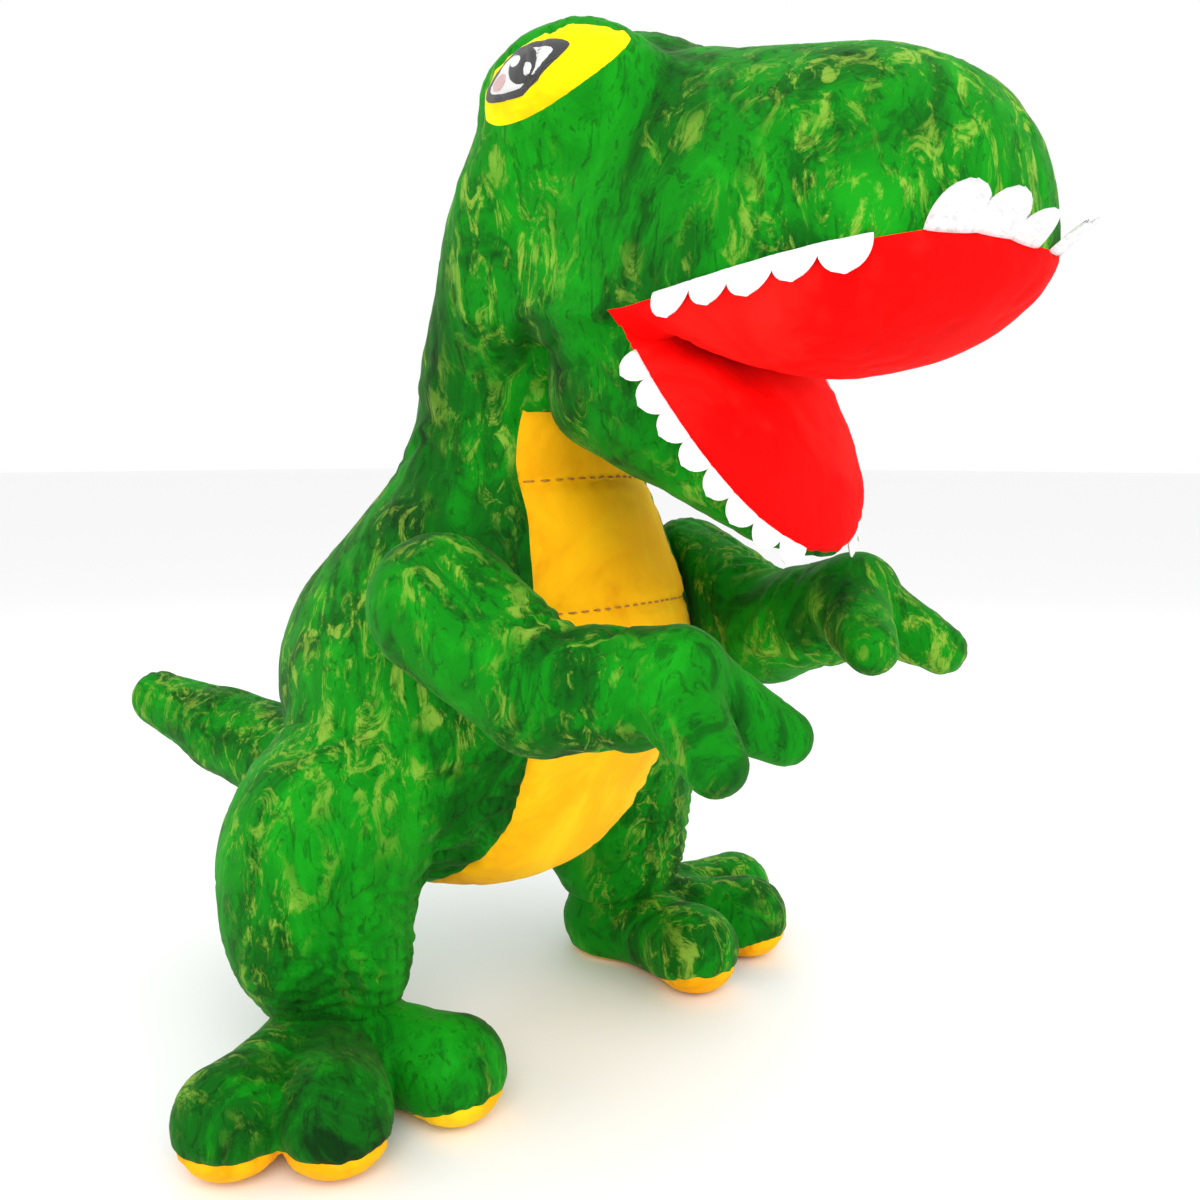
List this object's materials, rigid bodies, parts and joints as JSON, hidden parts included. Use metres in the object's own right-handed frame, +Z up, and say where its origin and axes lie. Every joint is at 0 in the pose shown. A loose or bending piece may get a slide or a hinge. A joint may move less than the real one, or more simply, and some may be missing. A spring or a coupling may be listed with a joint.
{
  "type": "stuffed dinosaur",
  "caption": "Large standing plush dinosaur with a wide open lined mouth, felt teeth, a contrasting belly panel, bending arms and a swaying tail.",
  "frame": {"origin": "on the floor midway between the feet, centred under the whole toy", "axes": "+Z up, the dinosaur faces -Y, its left side is +X"},
  "size_m": [0.668, 1.0125, 0.786],
  "materials": {
    "green_plush": "short-pile velboa, mottled green dye",
    "yellow_plush": "short-pile velboa, golden yellow",
    "red_plush": "short-pile velboa, bright red",
    "white_felt": "pressed felt, matt",
    "eye_thread": "satin-stitch embroidery, slight sheen",
    "filling": "polyester fibre filling, unseen"
  },
  "bodies": {
    "torso": {"torso_stuffing": "filling", "belly_panel": "yellow_plush", "torso_skin_right": "green_plush", "torso_skin_left": "green_plush", "leg_stuffing_right": "filling", "leg_skin_right": "green_plush", "foot_stuffing_right": "filling", "foot_upper_right": "green_plush", "foot_sole_right": "yellow_plush", "leg_stuffing_left": "filling", "leg_skin_left": "green_plush", "foot_stuffing_left": "filling", "foot_upper_left": "green_plush", "foot_sole_left": "yellow_plush"},
    "tail": {"tail_stuffing": "filling", "tail_skin": "green_plush"},
    "head": {"head_stuffing": "filling", "palate_lining": "red_plush", "upper_teeth": "white_felt", "neck_skin_right": "green_plush", "muzzle_skin_right": "green_plush", "eye_patch_right": "yellow_plush", "eye_embroidery_right": "eye_thread", "neck_skin_left": "green_plush", "muzzle_skin_left": "green_plush", "eye_patch_left": "yellow_plush", "eye_embroidery_left": "eye_thread"},
    "jaw": {"jaw_stuffing": "filling", "jaw_lining": "red_plush", "jaw_skin": "green_plush", "lower_teeth": "white_felt"},
    "arm_right": {"arm_stuffing_right": "filling", "arm_skin_right": "green_plush"},
    "arm_left": {"arm_stuffing_left": "filling", "arm_skin_left": "green_plush"}
  },
  "joints": [
    {"name": "head_nod", "type": "hinge", "parent": "torso", "child": "head", "pos_m": [0, -0.05, 0.5], "axis": [1, 0, 0], "range_deg": [-6, 4], "stiffness_Nm_per_rad": 60},
    {"name": "jaw_flex", "type": "hinge", "parent": "head", "child": "jaw", "pos_m": [0, -0.25, 0.58], "axis": [1, 0, 0], "range_deg": [-24, 2], "stiffness_Nm_per_rad": 12},
    {"name": "arm_right_swing", "type": "hinge", "parent": "torso", "child": "arm_right", "pos_m": [-0.135, -0.108, 0.388], "axis": [0.8186, 0.5417, -0.1906], "range_deg": [-4, 20], "stiffness_Nm_per_rad": 12},
    {"name": "arm_left_swing", "type": "hinge", "parent": "torso", "child": "arm_left", "pos_m": [0.135, -0.108, 0.388], "axis": [0.8186, -0.5417, 0.1906], "range_deg": [-4, 20], "stiffness_Nm_per_rad": 12},
    {"name": "tail_sway", "type": "hinge", "parent": "torso", "child": "tail", "pos_m": [0, 0.165, 0.16], "axis": [0, 0, 1], "range_deg": [-14, 14], "stiffness_Nm_per_rad": 15}
  ]
}
